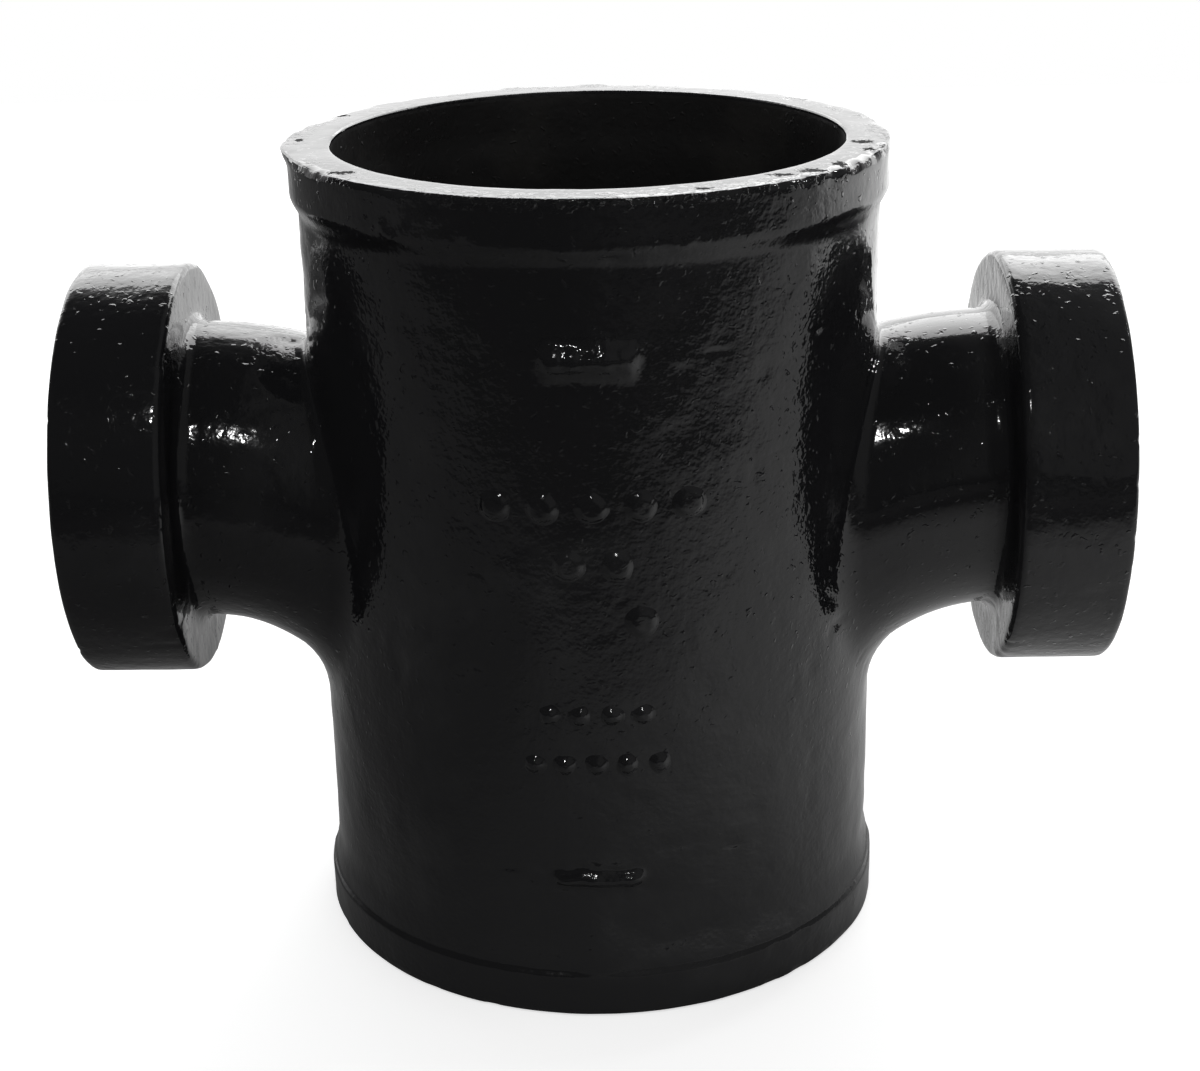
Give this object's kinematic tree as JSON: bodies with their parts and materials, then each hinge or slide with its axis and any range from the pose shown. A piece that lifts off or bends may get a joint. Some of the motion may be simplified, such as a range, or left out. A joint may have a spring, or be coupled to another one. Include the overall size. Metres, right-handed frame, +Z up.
{
  "type": "sanitary cross",
  "caption": "Cast-iron drainage cross: an upright run with plain beaded ends for couplings, and opposed tapped side inlets whose waterways sweep down into the run.",
  "frame": {"origin": "centre of the lower end face of the run", "axes": "+Z up the run towards its upper end; +X and -X out of the two side inlets; -Y towards the front, the side that the picture shows"},
  "size_m": [0.2008, 0.1152, 0.1588],
  "materials": {
    "coated_iron": "thick glossy black coating over a pebbled cast skin"
  },
  "bodies": {
    "root": {"casting": "coated_iron"}
  },
  "joints": []
}
